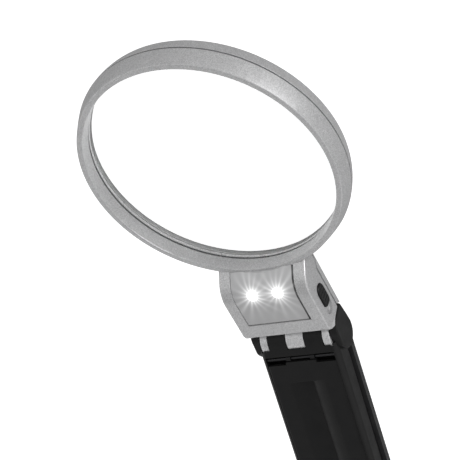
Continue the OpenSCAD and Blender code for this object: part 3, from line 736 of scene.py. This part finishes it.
def make_handle():
    at = HANDLE_FRAME
    outline = [(0, -BARREL_R), (0, FRONT)] + arc((EDGE_R - HANDLE_LEN, FRONT - EDGE_R), EDGE_R, 90, 180, 8)
    outline += [(-HANDLE_LEN, 0.2), (-75, 0.2), (-10, -1), (-9, -1), (-9, -BARREL_R)]
    outline = rounded(outline, [0] * 11 + [0.3, 8, 0.4, 0.4, 0.4], 4)
    body = prism("body", outline, -30, 30, place=at)
    section = prism("section", handle_section(), -HANDLE_LEN, 5, rims=(2.4, 0), axis="y", place=at, steps=6)
    common(body, section)
    # room for the head's knuckles
    for low, high in ((-4.4, 4.4), (13.0, 17.0), (-17.0, -13.0)):
        cut(body, drum("room", BARREL_R + 0.25, low, high, place=at, segments=120))
    for low, high in ((-4.4, 4.4), (13.0, 19), (-19, -13.0)):
        cut(body, box("gap", (low, -1.7, -9), (high, 1, 9), place=at))
    for side in (1, -1):
        add(body, drum("barrel", BARREL_R, *span(side, 4.4, 13.0), rims=(0.3, 0.3), place=at, segments=120))
        ear = prism("ear", ear_outline(0, BEND), *span(side, EAR_IN, EAR_OUT),
                    rims=rims_of(side, 0.2, 0.7), place=at, steps=5)
        add(body, ear)
    # battery space, leg bay, pocket under the rod
    cut(body, box("space", (-SPACE_HALF, -114, -20), (SPACE_HALF, -12.2, 4.7), place=at))
    cut(body, box("bay", (-BAY_HALF, -108.3, BAY_FLOOR), (BAY_HALF, -RIDGE_H, 20), place=at))
    cut(body, box("pocket", (-BAY_HALF, -11, 3.2), (BAY_HALF, -RIDGE_H, 20), place=at))
    cut(body, drum("scoop", 4.5, -8, 8, (-109.5, FRONT + 2.2), rims=(1.5, 1.5), place=at, segments=64))
    cut(body, box("pad_seat", (-10.1, -119, 3.4), (10.1, -117.1, 6.2), place=at))
    return piece(body, "handle_body", "handle", BLACK, "black_shell", "handle_shell")


def make_cover():
    at = HANDLE_FRAME
    wall = 2.8 - HANDLE_LEN
    outline = [(-9.2, -5.2), (-9.2, -BACK)] + arc((2.6 - HANDLE_LEN, 2.6 - BACK), 2.6, 270, 180, 8)
    outline += [(-HANDLE_LEN, 0), (wall, 0), (wall, -5)]
    outline = rounded(outline, [0.3, 0.4] + [0] * 9 + [0.4, 0.4, 1.0], 4)
    cover = prism("cover", outline, -30, 30, place=at)
    w, r = HALF_H, 0.9
    corners = arc((r - w, r - BACK), r, 180, 270, 8) + arc((w - r, r - BACK), r, 270, 360, 8)
    section = [(-w, 9)] + corners + [(w, 9)]
    common(cover, prism("section", section, -HANDLE_LEN, 5, rims=(1.8, 0), axis="y", place=at, steps=6))
    cut(cover, box("inside", (-SPACE_HALF, wall, -7.0), (SPACE_HALF, 5, 20), place=at))
    # thumb grip: a patch of hollows across the back
    for i in range(7):
        centre = (-98 - 2.2 * i, -BACK - 0.45)
        cut(cover, drum("rib", 0.7, -7, 7, centre, rims=(0.5, 0.5), place=at, segments=24))
    return piece(cover, "battery_cover_body", "cover", BLACK_LIT_COVER, "black_cover", "battery_cover")


def make_leg():
    at = HANDLE_FRAME
    low = FRONT - 2.2
    shoulder = arc((15.3, FRONT - EDGE_R), EDGE_R, 90, 68, 5)
    right = [p for p in shoulder if p[0] < LEG_HALF - 0.3] + [(LEG_HALF, FRONT - 0.24)]
    section = [(-LEG_HALF, low), (LEG_HALF, low)] + right[::-1] + [(-x, z) for x, z in right]
    radii = [0.25, 0.25, 0.25] + [0] * (2 * len(right) - 2) + [0.25]
    leg = prism("leg", rounded(section, radii, 3), -LEG_END, -TAB_H, rims=(0.15, 0.15), axis="y", place=at)
    for side in (1, -1):
        x0, x1 = span(side, TAB_HALF, 20)
        cut(leg, box("slot", (x0, -SLOT_H, 0), (x1, 0, 20), place=at))
    # wedge-shaped grip, deepest at its right edge, with a soft lip beyond it
    deep = (2.2, FRONT - 1.5)
    slope = bow((-9.5, FRONT + 0.04), (-1.0, FRONT - 0.35), deep, 10)
    lip = bow(deep, (4.2, FRONT - 0.12), (9.0, FRONT + 0.02), 12)[1:]
    wedge = slope + lip + [(9.0, 14), (-9.5, 14)]
    cut(leg, prism("wedge", wedge, -96, -18, axis="y", place=at))
    cut(leg, box("foot_seat", (-11, -109, low - 1), (11, -105, low + 0.9), place=at))
    for side in (1, -1):
        x0, x1 = span(side, 4.7, 6.8)
        lug = drum("lug", 1.4, x0, x1, (-ROD_H, ROD_Z), place=at, segments=48)
        add(lug, box("arm", (x0, -10, ROD_Z - 1.4), (x1, -ROD_H, low + 0.4), place=at))
        add(leg, lug)
    return piece(leg, "leg_panel", "leg", BLACK, "black_shell", "stand_leg")


make_front_shell()
make_back_shell()
make_lens()
make_retainer()
make_window()
make_button()
make_handle()
make_cover()
make_leg()

# CAD nodes that keep their shape get their finish here
FINISHES = {
    "lens_gasket": PALE_GASKET, "reflector_plate": REFLECTOR, "lamp_left": LAMP, "lamp_right": LAMP,
    "lamp_board": BOARD, "lamp_resistors": CHIP, "switch_body": BLACK_PAINTED_SHADE, "switch_leads": LEAD,
    "head_screws": STEEL, "hinge_pin": STEEL, "hinge_washers": STEEL, "battery_tray": BLACK_PAINTED_SHADE,
    "cell_left": CELL, "cell_middle": CELL, "cell_right": CELL, "contact_springs": STEEL,
    "contact_plates": BRASS, "battery_leads": LEAD, "tray_screws": STEEL, "end_pad": RUBBER,
    "leg_rod": DARK_STEEL, "leg_foot": RUBBER,
}
for name, material in FINISHES.items():
    obj = nodes[name]
    obj.data.materials.clear()
    obj.data.materials.append(material)


# ---------------------------------------------------------------- stage, light and camera

def make_floor():
    """A pale table: pure white where it is seen, softly lit where the object mirrors it."""
    far = 4000
    corners = [(-far, -far, 0), (far, -far, 0), (far, far, 0), (-far, far, 0)]
    floor = new_object("floor", corners, [(0, 1, 2, 3)])
    floor.location.z = -0.00005
    n = Nodes("light_table")
    tint = n.mix(n.noise(900, 2), (0.99, 0.99, 0.99), (1.0, 1.0, 1.0))
    path = n.make("ShaderNodeLightPath").outputs
    seen = n.math("MAXIMUM", path["Is Camera Ray"], path["Is Transmission Ray"])
    n.set(color=(0.49, 0.49, 0.49), rough=0.9, specular=0.0)
    n.set(emission=tint, glow=n.span(seen, 0, 1, 0.1, 1.02))
    floor.data.materials.append(n.material)


def make_world():
    """A studio dome: bright at the horizon, dimmer overhead."""
    world = bpy.data.worlds.new("studio")
    bpy.context.scene.world = world
    world.use_nodes = True
    tree = world.node_tree
    where = tree.nodes.new("ShaderNodeTexCoord")
    split = tree.nodes.new("ShaderNodeSeparateXYZ")
    ramp = tree.nodes.new("ShaderNodeValToRGB")
    tree.links.new(where.outputs["Generated"], split.inputs[0])
    tree.links.new(split.outputs["Z"], ramp.inputs["Fac"])
    stops = ramp.color_ramp.elements
    stops[0].position, stops[0].color = 0.0, (1.0, 1.0, 1.0, 1)
    stops[1].position, stops[1].color = 1.0, (0.25, 0.25, 0.25, 1)
    for place, level in ((0.25, 0.9), (0.67, 0.8), (0.87, 0.36)):
        stops.new(place).color = (level, level, level, 1)
    tree.links.new(ramp.outputs["Color"], tree.nodes["Background"].inputs["Color"])
    tree.nodes["Background"].inputs["Strength"].default_value = 1.0


def make_light(name, place, aim, size, power):
    """A soft rectangular light, in metres and watts, turned towards a point."""
    data = bpy.data.lights.new(name, "AREA")
    data.shape = "RECTANGLE"
    data.size, data.size_y = size
    data.energy = power
    obj = bpy.data.objects.new(name, data)
    bpy.context.scene.collection.objects.link(obj)
    obj.location = place
    obj.rotation_mode = "QUATERNION"
    obj.rotation_quaternion = (Vector(aim) - Vector(place)).to_track_quat("-Z", "Y")


def make_camera():
    """A long lens in front of the object, turned so that the handle runs down to the right."""
    data = bpy.data.cameras.new("camera")
    camera = bpy.data.objects.new("camera", data)
    bpy.context.scene.collection.objects.link(camera)
    right = Vector((0.863066, -0.419573, -0.281203))
    up = Vector((0.127446, 0.719624, -0.682568))
    back = Vector((0.488748, 0.553263, 0.674556))
    turn = Matrix((right, up, back)).transposed().to_4x4()
    camera.matrix_world = Matrix.Translation((0.314179, 0.330429, 0.453506)) @ turn
    sensor_mm, focal_px, photo_px = 36, 1600, 460
    data.sensor_width = sensor_mm
    data.lens = sensor_mm * focal_px / photo_px
    data.clip_start, data.clip_end = 0.01, 20
    bpy.context.scene.camera = camera


make_floor()
make_world()
make_light("key", (0.5, 0.2, 0.9), (0, -0.05, 0), (0.9, 0.9), 1.15)
make_light("side", (0.78, 0.42, 0.11), (0, 0, 0.01), (0.42, 0.2), 3.5)
make_camera()
bpy.context.scene.view_settings.view_transform = "Standard"
